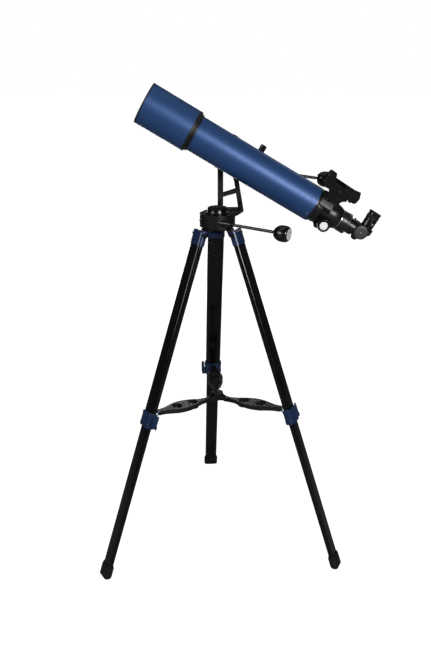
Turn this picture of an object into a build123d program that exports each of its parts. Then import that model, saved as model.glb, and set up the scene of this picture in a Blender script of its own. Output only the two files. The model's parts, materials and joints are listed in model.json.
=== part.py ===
# A 102 mm refractor telescope with star diagonal, eyepiece and red-dot finder, on a
# single-arm slow-motion alt-azimuth mount and a three-legged tripod with a folding tray.
# Millimetres. The origin is on the floor under the azimuth axis and +Z is up. The
# telescope's front points to -X and upwards, and the mount arm stands on the +Y side.
from build123d import *
import math
import os

os.makedirs("parts", exist_ok=True)

# ---------------------------------------------------------------- driving sizes
ELEVATION = 30.2         # degrees
TUBE_AXIS_Z = 1291.9     # where the tube axis crosses the azimuth axis
TUBE_R = 51.5
TUBE_WALL = 1.5
PLUG_R = TUBE_R - TUBE_WALL - 0.05    # parts that fit inside the main tube
LENS_R = 51.0
SHIELD_R = 59.9
SHIELD_WALL = 1.6
SHIELD_PLUG_R = SHIELD_R - SHIELD_WALL - 0.05

# stations along the tube axis, positive towards the front
SHIELD_FRONT, SHIELD_BACK = 231.0, 88.0
TUBE_FRONT, TUBE_BACK = 72.0, -320.0
EYE_S = -495.0           # eyepiece axis

DRAW_R = 28.0            # focuser drawtube
DRAW_BORE_R = DRAW_R + 0.05
NOSE_R = 15.875          # 1.25 inch barrel
NOSE_BORE = 15.95

# ---------------------------------------------------------------- tube frame
cos_elev = math.cos(math.radians(ELEVATION))
sin_elev = math.sin(math.radians(ELEVATION))
FORWARD = Vector(-cos_elev, 0, sin_elev)    # along the tube, towards the front
TUBE_UP = Vector(sin_elev, 0, cos_elev)     # up, square to the tube
SIDE = Vector(0, 1, 0)
UP = Vector(0, 0, 1)
FLOOR = Vector(0, 0, 0)


def on_tube(s, height=0.0, y=0.0):
    """Point at station s, so far above and beside the tube axis."""
    return Vector(0, y, TUBE_AXIS_Z) + FORWARD * s + TUBE_UP * height


TUBE_ORIGIN = on_tube(0)


# ---------------------------------------------------------------- shape helpers
def turning_plane(origin, direction):
    base = Plane(origin=origin, z_dir=direction)
    return Plane(origin=origin, x_dir=base.x_dir, z_dir=base.y_dir * -1)


def turned(origin, direction, profile):
    """Revolve a closed outline of (radius, distance along the direction)."""
    with BuildPart() as solid:
        with BuildSketch(turning_plane(origin, direction)):
            with BuildLine():
                Polyline(*profile, close=True)
            make_face()
        revolve(axis=Axis(origin, direction))
    return solid.part


def rod(origin, direction, radius, length):
    return turned(origin, direction, [(0, 0), (radius, 0), (radius, length), (0, length)])


def ring(origin, direction, outer, inner, length):
    return turned(origin, direction,
                  [(inner, 0), (outer, 0), (outer, length), (inner, length)])


def prism(plane, points, amount):
    with BuildPart() as solid:
        with BuildSketch(plane):
            with BuildLine():
                Polyline(*points, close=True)
            make_face()
        extrude(amount=amount)
    return solid.part


def side_prism(points, width):
    """Outline of (station, height) on the tube, as wide to -Y as to +Y."""
    plane = Plane(origin=on_tube(0, 0, -width / 2), x_dir=FORWARD, z_dir=SIDE)
    return prism(plane, points, width)


def block(plane, width, height, amount):
    with BuildPart() as solid:
        with BuildSketch(plane):
            Rectangle(width, height)
        extrude(amount=amount)
    return solid.part


def oval(plane, width, height, amount):
    with BuildPart() as solid:
        with BuildSketch(plane):
            SlotOverall(width, height)
        extrude(amount=amount)
    return solid.part


def knurled(origin, direction, radius, depth, count, length, ridge=0.5):
    """Ribbed cylinder; ridge is the share of each pitch at full radius."""
    corners = ((0.0, radius), (ridge, radius), (ridge + 0.12, radius - depth),
               (0.88, radius - depth))
    points = []
    for k in range(count):
        for share, r in corners:
            angle = 2 * math.pi * (k + share) / count
            points.append((r * math.cos(angle), r * math.sin(angle)))
    return prism(Plane(origin=origin, z_dir=direction), points, length)


def lens(origin, direction, radius, rear, rear_sag, front, front_sag):
    """Lens between two apexes. A positive sag bows that face outwards at its middle.
    The rear face may be flat (sag 0)."""

    def arc_middle(apex, sag):
        sphere_r = (radius * radius + sag * sag) / (2 * abs(sag))
        half = radius * 0.5
        depth = sphere_r - math.sqrt(sphere_r * sphere_r - half * half)
        return (half, apex + math.copysign(depth, sag))

    rear_edge = (radius, rear + rear_sag)
    front_edge = (radius, front - front_sag)
    with BuildPart() as solid:
        with BuildSketch(turning_plane(origin, direction)):
            with BuildLine():
                if rear_sag:
                    ThreePointArc((0, rear), arc_middle(rear, rear_sag), rear_edge)
                else:
                    Line((0, rear), rear_edge)
                Line(rear_edge, front_edge)
                ThreePointArc(front_edge, arc_middle(front, -front_sag), (0, front))
                Line((0, front), (0, rear))
            make_face()
        revolve(axis=Axis(origin, direction))
    return solid.part


def thumb_screw(origin, direction, stem_r, stem_length, head_r, head_length, ridges=14):
    with BuildPart() as screw:
        add(rod(origin, direction, stem_r, stem_length + 0.4))
        add(knurled(origin + direction * stem_length, direction, head_r, 0.45, ridges,
                    head_length))
        add(turned(origin + direction * (stem_length + head_length), direction,
                   [(0, 0), (head_r - 0.9, 0), (head_r - 1.5, 0.7), (0, 0.8)]))
    return screw.part


def save(builder, name):
    builder.part.label = name
    export_step(builder.part, f"parts/{name}.step")


# ================================================================ objective end
with BuildPart() as dew_shield:
    add(ring(on_tube(SHIELD_BACK), FORWARD, SHIELD_R, SHIELD_R - SHIELD_WALL,
             SHIELD_FRONT - SHIELD_BACK))
save(dew_shield, "dew_shield")

LENS_SEAT_R = LENS_R + 0.05
FLINT_BACK = 92.0
with BuildPart() as objective_cell:
    add(turned(TUBE_ORIGIN, FORWARD, [
        (47.0, 56), (PLUG_R, 56), (PLUG_R, TUBE_FRONT), (54.4, TUBE_FRONT), (55.0, 72.6),
        (55.0, 77.2), (57.6, 78.2), (58.2, 79), (60.2, 79.6), (60.2, 87.4),
        (59.8, SHIELD_BACK), (SHIELD_PLUG_R, SHIELD_BACK), (SHIELD_PLUG_R, 110),
        (LENS_SEAT_R, 110), (LENS_SEAT_R, FLINT_BACK), (47.0, FLINT_BACK)]))
    # retaining ring in front of the lens pair
    add(turned(TUBE_ORIGIN, FORWARD, [
        (48.0, 105.4), (LENS_R, 104.75), (LENS_R, 109.5), (48.6, 109.5), (48.0, 108.9)]))
    # trim ring in the mouth of the dew shield
    add(turned(TUBE_ORIGIN, FORWARD, [
        (56.0, 224), (SHIELD_PLUG_R, 224), (SHIELD_PLUG_R, SHIELD_FRONT),
        (60.4, SHIELD_FRONT), (60.4, 233.6), (59.4, 235), (57.0, 235), (56.0, 233.5)]))
save(objective_cell, "objective_cell")

with BuildPart() as objective_lenses:
    # flint, hollow in front
    add(lens(TUBE_ORIGIN, FORWARD, LENS_R, FLINT_BACK, 0.0, 96.4, -4.6))
    # crown in front of the flint, 0.15 mm apart at the edge
    add(lens(TUBE_ORIGIN, FORWARD, LENS_R, 96.6, 4.55, 108.3, 3.6))
save(objective_lenses, "objective_lenses")

# ================================================================ main tube
BAR_BACK, BAR_FRONT = -150.0, 60.0
BAR_SCREWS = (-125.0, 35.0)      # stations
BAR_SCREW_R = 2.5
BAR_SCREW_BORE_R = BAR_SCREW_R + 0.05

with BuildPart() as main_tube:
    add(ring(on_tube(TUBE_BACK), FORWARD, TUBE_R, TUBE_R - TUBE_WALL, TUBE_FRONT - TUBE_BACK))
    for s in BAR_SCREWS:
        add(rod(on_tube(s, 0, 40), SIDE, BAR_SCREW_BORE_R, 20), mode=Mode.SUBTRACT)
save(main_tube, "main_tube")

with BuildPart() as rear_cell:
    add(turned(TUBE_ORIGIN, FORWARD, [
        (40, -306), (PLUG_R, -306), (PLUG_R, TUBE_BACK), (51.2, TUBE_BACK), (51.2, -326.5),
        (50.4, -328), (40, -328)]))
    # two light baffles pressed into the tube: station, opening radius
    for s, opening in ((-60.0, 39.0), (-190.0, 28.5)):
        add(turned(on_tube(s), FORWARD, [
            (opening, 0), (PLUG_R, 0), (PLUG_R, 8), (48.8, 8), (48.8, 1.2), (opening, 1.2)]))
save(rear_cell, "rear_cell")

with BuildPart() as ota_screws:
    # pairs of screw heads on the tube over the rear cell, every 120 degrees,
    # starting on the lower -Y side: station, angle
    for k in range(3):
        for s, start in ((-311.0, 214), (-316.0, 220)):
            angle = math.radians(start + 120 * k)
            radial = SIDE * math.cos(angle) + TUBE_UP * math.sin(angle)
            add(turned(on_tube(s) + radial * TUBE_R, radial,
                       [(0, 0), (1.9, 0), (1.9, 0.5), (1.2, 1.1), (0, 1.2)]))
    # pinion cover screws
    for s in (-361.5, -383.0):
        for y in (-12.0, 12.0):
            add(turned(on_tube(s, -53.5, y), TUBE_UP * -1,
                       [(0, 0), (2.2, 0), (2.2, 0.8), (1.4, 1.5), (0, 1.6)]))
    # dovetail bar screws with their nuts inside the tube
    for s in BAR_SCREWS:
        add(rod(on_tube(s, 0, 47.0), SIDE, BAR_SCREW_R, 12.5))
        add(rod(on_tube(s, 0, 59.5), SIDE, 4.5, 3.6))
        add(rod(on_tube(s, 0, 47.0), SIDE, 4.4, 2.2))
save(ota_screws, "ota_screws")

# ================================================================ focuser
PINION_S, PINION_H = -373.0, -34.2
PINION_SHAFT_R = 3.0
PINION_TEETH = 12
TOOTH_MODULE = 0.8
TOOTH_PITCH = math.pi * TOOTH_MODULE


def at_pinion(y):
    return on_tube(PINION_S, PINION_H, y)


with BuildPart() as pinion_cover:
    add(side_prism([(-350, -46.52), (-353, -51), (-358, -53.5), (-386, -53.5), (-391, -51),
                    (-394, -46.52)], 34))
    add(rod(at_pinion(-4.4), SIDE, 14.0, 8.8), mode=Mode.SUBTRACT)

with BuildPart() as focuser_body:
    add(turned(TUBE_ORIGIN, FORWARD, [
        (DRAW_BORE_R, -328), (46.6, -328), (46.6, -344), (45.6, -346), (42.5, -350),
        (40.2, -358), (38.6, -372), (37.6, -390), (36.4, -397), (34.0, -404), (31.2, -411),
        (DRAW_BORE_R, -411)]))
    add(side_prism([(-346, -30), (-346, -43), (-352, -46.5), (-392, -46.5), (-398, -41),
                    (-400, -30)], 34))
    add(rod(on_tube(-420), FORWARD, DRAW_BORE_R, 100), mode=Mode.SUBTRACT)
    add(ring(on_tube(-394), FORWARD, 29.4, 27.0, 48), mode=Mode.SUBTRACT)
    # slot for the rack, window and bores for the pinion
    add(side_prism([(-327, -20), (-327, -30.6), (-412, -30.6), (-412, -20)], 8.4),
        mode=Mode.SUBTRACT)
    add(rod(at_pinion(-4.4), SIDE, 6.6, 8.8), mode=Mode.SUBTRACT)
    add(side_prism([(-366.4, -34), (-366.4, -50), (-379.6, -50), (-379.6, -34)], 8.8),
        mode=Mode.SUBTRACT)
    add(rod(at_pinion(-60), SIDE, PINION_SHAFT_R + 0.06, 120), mode=Mode.SUBTRACT)
    # room for the knobs beside the barrel
    for sign in (-1, 1):
        add(rod(at_pinion(sign * 28.9), SIDE * sign, 19.6, 30), mode=Mode.SUBTRACT)
        add(rod(at_pinion(sign * 23.0), SIDE * sign, 10.6, 30), mode=Mode.SUBTRACT)
    # pinion cover under the body, a separate solid
    add(pinion_cover.part)
save(focuser_body, "focuser_body")

# rack heights; the teeth point down
RACK_BASE_H, RACK_ROOT_H, RACK_TIP_H = -26.2, -28.35, -29.85
# tooth corners: distance from the tooth's middle, height
RACK_TOOTH = ((0.98, RACK_ROOT_H), (0.42, RACK_TIP_H), (-0.42, RACK_TIP_H),
              (-0.98, RACK_ROOT_H))
RACK_FRONT, RACK_BACK = -302.0, -408.0

rack_points = [(RACK_FRONT, RACK_BASE_H - 0.02), (RACK_FRONT, RACK_ROOT_H)]
# teeth lie whole pitches from the pinion, from front to back
tooth_s = PINION_S + TOOTH_PITCH * math.floor((-304.2 - PINION_S) / TOOTH_PITCH)
while tooth_s > -407.0:
    rack_points += [(tooth_s + offset, height) for offset, height in RACK_TOOTH]
    tooth_s -= TOOTH_PITCH
rack_points += [(RACK_BACK, RACK_ROOT_H), (RACK_BACK, RACK_BASE_H - 0.02)]
with BuildPart() as rack:
    add(side_prism(rack_points, 6.8))

with BuildPart() as drawtube:
    # plain tube with a wide rear collar, grooved underneath for the rack
    add(turned(TUBE_ORIGIN, FORWARD, [
        (25.6, -300), (DRAW_R, -300), (DRAW_R, -413.6), (30.6, -413.6), (31.2, -414.4),
        (31.2, -430.8), (30.6, -431.6), (25.6, -431.6)]))
    add(side_prism([(RACK_FRONT + 0.1, -40), (RACK_FRONT + 0.1, RACK_BASE_H),
                    (RACK_BACK - 0.1, RACK_BASE_H), (RACK_BACK - 0.1, -40)], 7.0),
        mode=Mode.SUBTRACT)
    # rack let into the groove, a separate solid
    add(rack.part)
save(drawtube, "drawtube")

# pinion tooth corners: share of the tooth pitch, radius
PINION_TOOTH = ((0.300, 3.75), (0.320, 4.0), (0.335, 4.7), (0.425, 5.35),
                (0.575, 5.35), (0.665, 4.7), (0.680, 4.0), (0.700, 3.75))
pinion_points = []
for k in range(PINION_TEETH):
    for share, r in PINION_TOOTH:
        # a gap faces straight up, on the rack tooth over the shaft
        angle = math.pi / 2 + 2 * math.pi * (k + share) / PINION_TEETH
        pinion_points.append((r * math.cos(angle), r * math.sin(angle)))
with BuildPart() as pinion_shaft:
    add(prism(Plane(origin=at_pinion(-3.2), x_dir=FORWARD, z_dir=SIDE), pinion_points, 6.4))
    add(rod(at_pinion(-48.0), SIDE, PINION_SHAFT_R, 96))
save(pinion_shaft, "pinion_shaft")

KNOB_BORE_R = PINION_SHAFT_R + 0.02


def focus_knob(sign):
    """Knob on the +Y (sign 1) or -Y (sign -1) end of the pinion shaft."""
    outward = SIDE * sign
    origin = at_pinion(sign * 23.5)
    with BuildPart() as knob:
        add(turned(origin, outward, [
            (KNOB_BORE_R, 0), (8.5, 0), (9.5, 1.0), (9.5, 5.5), (14.0, 6.0), (17.0, 7.5),
            (17.0, 26.0), (15.6, 27.5), (11.9, 27.5), (11.9, 25.6), (KNOB_BORE_R, 25.6)]))
        add(knurled(origin + outward * 9.0, outward, 18.5, 1.2, 26, 16.0, 0.55))
        # clear the middle and put the hub back
        add(rod(origin + outward * 8.0, outward, 13.0, 18.0), mode=Mode.SUBTRACT)
        add(turned(origin, outward, [
            (KNOB_BORE_R, 6.2), (13.5, 8.4), (13.5, 25.6), (KNOB_BORE_R, 25.6)]))
    return knob.part


with BuildPart() as focus_knobs:
    add(focus_knob(-1))
    add(focus_knob(1))
save(focus_knobs, "focus_knobs")

with BuildPart() as focus_knob_caps:
    for sign in (-1, 1):
        add(turned(at_pinion(sign * 49.1), SIDE * sign,
                   [(0, 0), (11.85, 0), (11.85, 1.6), (11.3, 2.2), (0, 2.2)]))
save(focus_knob_caps, "focus_knob_caps")

# ================================================================ 1.25 inch holder
BACK_SCREW_DIR = (SIDE * -0.93 + TUBE_UP * -0.37).normalized()
BACK_SCREW_ORIGIN = on_tube(-436.6)

with BuildPart() as visual_back:
    add(turned(TUBE_ORIGIN, FORWARD, [
        (NOSE_BORE, -432), (25.5, -432), (25.5, -431.6), (29.6, -431.6), (29.6, -441.2),
        (28.8, -442), (24.5, -443.5), (23.4, -444.5), (23.4, -461.2), (22.6, -462),
        (NOSE_BORE, -462)]))
    add(turned(TUBE_ORIGIN, FORWARD, [
        (21.0, -420), (25.5, -420), (25.5, -432.2), (21.0, -432.2)]))
    add(knurled(on_tube(-441.0), FORWARD, 31.6, 0.9, 40, 8.6))
    add(rod(on_tube(-463), FORWARD, NOSE_BORE, 31.0), mode=Mode.SUBTRACT)
    add(rod(on_tube(-455.0, 14.0), TUBE_UP, 2.05, 14), mode=Mode.SUBTRACT)
    add(rod(BACK_SCREW_ORIGIN + BACK_SCREW_DIR * 15, BACK_SCREW_DIR, 2.05, 20),
        mode=Mode.SUBTRACT)
    # its own clamp screw, a separate solid
    add(thumb_screw(BACK_SCREW_ORIGIN + BACK_SCREW_DIR * 22.0, BACK_SCREW_DIR,
                    2.0, 10.2, 3.9, 4.0))
save(visual_back, "visual_back")

with BuildPart() as holder_screw:
    add(thumb_screw(on_tube(-455.0, 16.15), TUBE_UP, 2.0, 8.0, 3.5, 3.6))
save(holder_screw, "holder_screw")

# ================================================================ star diagonal
EYE_ORIGIN = on_tube(EYE_S)
DIAGONAL_SCREW_ORIGIN = on_tube(EYE_S, 37.0)
DIAGONAL_SCREW_DIR = (SIDE * -0.97 + FORWARD * -0.24).normalized()
LIGHT_R = 14.2           # light path through the diagonal

with BuildPart() as diagonal_nose:
    add(turned(TUBE_ORIGIN, FORWARD, [
        (LIGHT_R, -466), (17.5, -466), (17.5, -462.3), (NOSE_R, -462.3), (NOSE_R, -434.0),
        (15.2, -433.2), (LIGHT_R, -433.2)]))
    add(ring(on_tube(-452.0), FORWARD, 17.0, 15.3, 7.0), mode=Mode.SUBTRACT)
save(diagonal_nose, "diagonal_nose")

with BuildPart() as eyepiece_holder:
    add(turned(EYE_ORIGIN, TUBE_UP, [
        (NOSE_BORE, 21.82), (18.4, 21.82), (18.6, 23), (18.6, 41.2), (17.8, 42.6),
        (NOSE_BORE, 42.6)]))
    add(rod(DIAGONAL_SCREW_ORIGIN + DIAGONAL_SCREW_DIR * 14, DIAGONAL_SCREW_DIR, 1.55, 8),
        mode=Mode.SUBTRACT)

with BuildPart() as diagonal_body:
    add(side_prism([
        (-464.2, -20.5), (-466, -24.5), (-471, -26.8), (-479.5, -27.2), (-512.5, 5.8),
        (-513.5, 14), (-513.5, 21.8), (-476.5, 21.8), (-471, 24.5), (-466, 23.5),
        (-464.2, 20)], 40))
    add(rod(on_tube(-466), FORWARD, 17.55, 4.0), mode=Mode.SUBTRACT)
    add(rod(EYE_ORIGIN, FORWARD, LIGHT_R, 40), mode=Mode.SUBTRACT)
    add(rod(EYE_ORIGIN, TUBE_UP, LIGHT_R, 30), mode=Mode.SUBTRACT)
    add(rod(on_tube(EYE_S, 14.6), TUBE_UP, 16.0, 20), mode=Mode.SUBTRACT)
    # through slot for the mirror plate, and the light path in front of it
    add(side_prism([(-480.0, -15.0), (-482.2, -17.2), (-512.2, 12.8), (-510.0, 15.0)], 41),
        mode=Mode.SUBTRACT)
    add(side_prism([(-480.9, -14.2), (-509.2, 14.1), (-480.8, 14.1)], 2 * LIGHT_R),
        mode=Mode.SUBTRACT)
    # eyepiece holder on top, a separate solid
    add(eyepiece_holder.part)
save(diagonal_body, "diagonal_body")

with BuildPart() as diagonal_mirror:
    add(side_prism([(-480.3, -14.7), (-482.35, -16.75), (-511.75, 12.65), (-509.7, 14.7)],
                   39.8))
save(diagonal_mirror, "diagonal_mirror")

with BuildPart() as diagonal_side_covers:
    for sign in (-1, 1):
        add(turned(on_tube(-485.4, 1.0, sign * 20.0), SIDE * sign, [
            (0, 0), (19.9, 0), (20.4, 0.5), (20.4, 1.8), (19.5, 2.8), (14.5, 3.4), (0, 3.6)]))
save(diagonal_side_covers, "diagonal_side_covers")

with BuildPart() as diagonal_screw:
    add(thumb_screw(DIAGONAL_SCREW_ORIGIN + DIAGONAL_SCREW_DIR * 16.15, DIAGONAL_SCREW_DIR,
                    1.5, 3.6, 3.0, 3.6, 12))
save(diagonal_screw, "diagonal_screw")

# ================================================================ eyepiece
with BuildPart() as eyepiece_barrel:
    add(turned(EYE_ORIGIN, TUBE_UP, [
        (14.0, 16.0), (15.5, 16.0), (NOSE_R, 16.6), (NOSE_R, 30.0), (15.3, 31.0),
        (15.3, 35.0), (NOSE_R, 36.0), (NOSE_R, 42.8), (14.9, 42.8), (14.9, 46.0),
        (14.0, 46.0)]))
save(eyepiece_barrel, "eyepiece_barrel")

with BuildPart() as eyepiece_body:
    add(turned(EYE_ORIGIN, TUBE_UP, [
        (14.95, 42.9), (18.4, 42.9), (19.3, 44.0), (19.3, 47.2), (18.0, 48.4), (17.6, 49.5),
        (17.6, 60.0), (18.2, 61.0), (18.2, 66.0), (12.2, 66.0), (12.2, 58.0), (14.2, 58.0),
        (14.2, 46.1), (14.95, 46.1)]))
save(eyepiece_body, "eyepiece_body")

with BuildPart() as eyepiece_rubber:
    # grip sleeve
    add(knurled(on_tube(EYE_S, 50.0), TUBE_UP, 18.9, 0.7, 24, 9.6, 0.55))
    add(rod(on_tube(EYE_S, 49.0), TUBE_UP, 17.62, 12), mode=Mode.SUBTRACT)
    # eyecup
    add(turned(EYE_ORIGIN, TUBE_UP, [
        (10.5, 66.05), (18.3, 66.05), (18.9, 67.0), (19.5, 70.6), (18.6, 71.2),
        (17.2, 70.6), (16.4, 67.8), (10.5, 67.4)]))
save(eyepiece_rubber, "eyepiece_rubber")

with BuildPart() as eyepiece_lenses:
    add(lens(EYE_ORIGIN, TUBE_UP, 12.1, 58.4, 1.2, 64.0, 0.6))
    add(lens(EYE_ORIGIN, TUBE_UP, 13.9, 36.0, 0.8, 41.0, 1.6))
save(eyepiece_lenses, "eyepiece_lenses")

# ================================================================ red-dot finder
FINDER_TILT = math.radians(58.0)     # above the -Y side
# away from the tube axis, and across the finder towards the lower -Y side
FINDER_OUT = SIDE * -math.cos(FINDER_TILT) + TUBE_UP * math.sin(FINDER_TILT)
FINDER_ACROSS = SIDE * -math.sin(FINDER_TILT) - TUBE_UP * math.cos(FINDER_TILT)
HOUSING_FORWARD, HOUSING_OUT = 7.5, 1.2     # shift of the housing on its bracket
DIAL_S, DIAL_OUT = -365, 91
WINDOW_WIDTH = 18.8


def at_finder(s, out, across=0.0):
    return on_tube(s) + FINDER_OUT * out + FINDER_ACROSS * across


def in_housing(s, out, across=0.0):
    return at_finder(s + HOUSING_FORWARD, out + HOUSING_OUT, across)


def shifted(points):
    return [(s + HOUSING_FORWARD, out + HOUSING_OUT) for s, out in points]


def finder_prism(points, width):
    """Outline of (station, distance from the tube axis), centred across the finder."""
    plane = Plane(origin=at_finder(0, 0, width / 2), x_dir=FORWARD,
                  z_dir=FORWARD.cross(FINDER_OUT))
    return prism(plane, points, width)


with BuildPart() as finder_bracket:
    add(finder_prism([
        (-337, 48.0), (-337, 54.5), (-340, 58), (-339, 66), (-332, 71),
        *shifted([(-334, 78.4), (-398, 78.4)]),
        (-392, 71), (-383, 64), (-380, 56), (-380, 48.0)], 18.0))
    add(finder_prism([(-348, 58.5), (-348, 63.0), (-358, 63.0), (-358, 58.5)], 19.0),
        mode=Mode.SUBTRACT)

with BuildPart() as finder_mount:
    # saddle shoe on the focuser body, with a slot for the bracket's foot
    add(finder_prism([(-331, 30), (-331, 50.5), (-377, 50.5), (-383, 46.5), (-383, 30)], 38))
    # shoe flanges: across the finder, away from the tube axis
    add(prism(Plane(origin=on_tube(-368), x_dir=FINDER_ACROSS, z_dir=FORWARD), [
        (-34, 20), (-34, 36.5), (-30, 41), (-16, 49.5), (16, 49.5), (30, 41), (34, 36.5),
        (34, 20)], 39.8))
    # hollowed to sit 0.1 mm off the focuser body
    add(turned(TUBE_ORIGIN, FORWARD, [
        (0, -400), (37.2, -400), (37.7, -390), (38.7, -372), (40.3, -358), (42.6, -350),
        (45.7, -346), (46.7, -344), (46.7, -320), (0, -320)]), mode=Mode.SUBTRACT)
    add(finder_prism([(-336, 47.9), (-336, 52), (-390, 52), (-390, 47.9)], 18.2),
        mode=Mode.SUBTRACT)
    # bracket in the slot, a separate solid
    add(finder_bracket.part)
    # height screw under the eye end
    add(rod(in_housing(-408, 70.5), FINDER_OUT, 2.5, 15.3))
    add(knurled(in_housing(-408, 70.0), FINDER_OUT, 5.6, 0.6, 16, 6.0))
save(finder_mount, "finder_mount")

with BuildPart() as finder_body:
    # square tunnel with its eye end behind, and a taller frame in front
    add(finder_prism(shifted([
        (-322, 78.6), (-318, 84), (-318, 108), (-400, 104), (-420.5, 107), (-422.5, 103),
        (-422.5, 84), (-417.5, 78.6)]), 25.0))
    add(finder_prism(shifted([
        (-312, 84), (-308, 90), (-309, 117), (-313, 121), (-331, 119), (-334, 115),
        (-334, 84)]), 29.0))
    # sight tunnel
    add(finder_prism(shifted([
        (-300, 87), (-300, 114.5), (-334, 111.5), (-400, 100.6), (-440, 100.6),
        (-440, 87)]), 19.0), mode=Mode.SUBTRACT)
    # pocket and bore for the height screw, then the dial bore
    add(finder_prism(shifted([
        (-401.8, 78), (-401.8, 81.5), (-414.2, 81.5), (-414.2, 78)]), 18.8),
        mode=Mode.SUBTRACT)
    add(rod(in_housing(-408, 76), FINDER_OUT, 2.55, 10), mode=Mode.SUBTRACT)
    add(rod(in_housing(DIAL_S, DIAL_OUT), FINDER_ACROSS, 3.05, 20), mode=Mode.SUBTRACT)
save(finder_body, "finder_body")

with BuildPart() as finder_window:
    add(finder_prism(shifted([
        (-315.5, 87.1), (-317.0, 87.1), (-321.4, 112.4), (-319.9, 112.6)]), WINDOW_WIDTH))
save(finder_window, "finder_window")

with BuildPart() as finder_switch:
    # dial on the lower -Y side, turns the dot on and sets its brightness
    add(turned(in_housing(DIAL_S, DIAL_OUT, 12.6), FINDER_ACROSS, [
        (0, 0), (7.0, 0), (7.4, 0.4), (7.4, 3.8), (6.6, 4.6), (0, 4.6)]))
    add(rod(in_housing(DIAL_S, DIAL_OUT, 9.7), FINDER_ACROSS, 3.0, 3.2))
    # grip bar
    add(block(Plane(origin=in_housing(DIAL_S, DIAL_OUT, 17.0), x_dir=FORWARD,
                    z_dir=FINDER_ACROSS), 11.0, 1.6, 0.9))
save(finder_switch, "finder_switch")

# ================================================================ dovetail and saddle
ALT_X, ALT_Z = 32.0, 1273.0      # altitude axis, parallel to Y
SADDLE_BACK, SADDLE_FRONT = -134.0, 30.0
LOWER_LIP_BACK = -96.0
CLAMP_S, CLAMP_Y = -120.0, 62.0


def on_altitude(y):
    return Vector(ALT_X, y, ALT_Z)


def section_prism(back, points, length):
    """Cross-section of the tube's mount, as (y, distance below the tube axis)."""
    return prism(Plane(origin=on_tube(back), x_dir=SIDE, z_dir=FORWARD), points, length)


with BuildPart() as dovetail_bar:
    add(section_prism(BAR_BACK, [
        (44, -15.0), (53.5, -15.0), (63.4, -21.3), (63.9, -21.0), (63.9, 21.0),
        (63.4, 21.3), (53.5, 15.0), (44, 15.0)], BAR_FRONT - BAR_BACK))
    add(rod(on_tube(BAR_BACK - 5), FORWARD, TUBE_R + 0.02, BAR_FRONT - BAR_BACK + 10),
        mode=Mode.SUBTRACT)
    for s in BAR_SCREWS:
        add(rod(on_tube(s, 0, 40), SIDE, BAR_SCREW_BORE_R, 30), mode=Mode.SUBTRACT)
        add(rod(on_tube(s, 0, 59.5), SIDE, 4.6, 8), mode=Mode.SUBTRACT)
save(dovetail_bar, "dovetail_bar")

with BuildPart() as clamp_jaw:
    add(section_prism(-131.0, [
        (55.6, 17.0), (63.8, 22.1), (63.8, 27.2), (70.0, 27.2), (70.0, 32.0),
        (55.6, 32.0)], 22.0))

with BuildPart() as saddle:
    # back plate with the full-length upper lip
    add(section_prism(SADDLE_BACK, [
        (64.0, -30.0), (64.0, -22.1), (55.6, -16.9), (55.6, -30.0), (58.0, -33.5),
        (73.0, -33.5), (76.0, -30.0), (76.0, 24.0), (73.0, 27.0), (64.0, 27.0)],
        SADDLE_FRONT - SADDLE_BACK))
    # lower lip, in front of the clamp jaw
    add(section_prism(LOWER_LIP_BACK, [
        (64.0, 22.1), (55.6, 16.9), (55.6, 27.0), (64.0, 27.0)],
        SADDLE_FRONT - LOWER_LIP_BACK))
    # boss that takes the altitude axle flange
    add(rod(on_altitude(75.0), SIDE, 29.0, 3.0))
    # hooked block round the underside of the clamp jaw
    add(section_prism(-132.0, [
        (57.0, 34.0), (57.0, 46.0), (73.0, 46.0), (76.0, 43.0), (76.0, 20.0),
        (70.4, 20.0), (70.4, 34.0)], 24.0))
    # bores for the clamp knob and the axle
    add(rod(on_tube(CLAMP_S, 10.0, CLAMP_Y), TUBE_UP, 3.05, 50), mode=Mode.SUBTRACT)
    add(rod(on_altitude(60.0), SIDE, 12.0, 30.0), mode=Mode.SUBTRACT)
    # clamp jaw, a separate solid
    add(clamp_jaw.part)
save(saddle, "saddle")

with BuildPart() as clamp_knob:
    # stands above the saddle's upper lip
    add(rod(on_tube(CLAMP_S, 32.1, CLAMP_Y), TUBE_UP, 3.0, 22))
    add(knurled(on_tube(CLAMP_S, 48.0, CLAMP_Y), TUBE_UP, 9.5, 0.9, 14, 17.0))
    add(turned(on_tube(CLAMP_S, 65.0, CLAMP_Y), TUBE_UP,
               [(0, 0), (8.6, 0), (7.4, 1.6), (0, 2.0)]))
save(clamp_knob, "clamp_knob")

# ================================================================ worms and controls
WORM_CORE_R = 4.7
WORM_RIDGES = 9
WORM_PITCH = 3.94
WORM_HALF = 19.5
WORM_SHAFT_R = 4.0
WORM_BORE_R = WORM_SHAFT_R + 0.06
KNOB_R = 23.0            # slow-motion knob
# ridge corners: distance from the ridge's middle, height above the core
WORM_RIDGE = ((-0.95, 0), (-0.35, 1.5), (0.35, 1.5), (0.95, 0))


def worm(origin, direction):
    """Solid core with a ring-shaped ridge per thread turn, centred on origin."""
    points = [(0, -WORM_HALF), (WORM_CORE_R, -WORM_HALF)]
    for k in range(WORM_RIDGES):
        middle = (k - (WORM_RIDGES - 1) / 2.0) * WORM_PITCH
        points += [(WORM_CORE_R + rise, middle + offset) for offset, rise in WORM_RIDGE]
    points += [(WORM_CORE_R, WORM_HALF), (0, WORM_HALF)]
    return turned(origin, direction, points)


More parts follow.
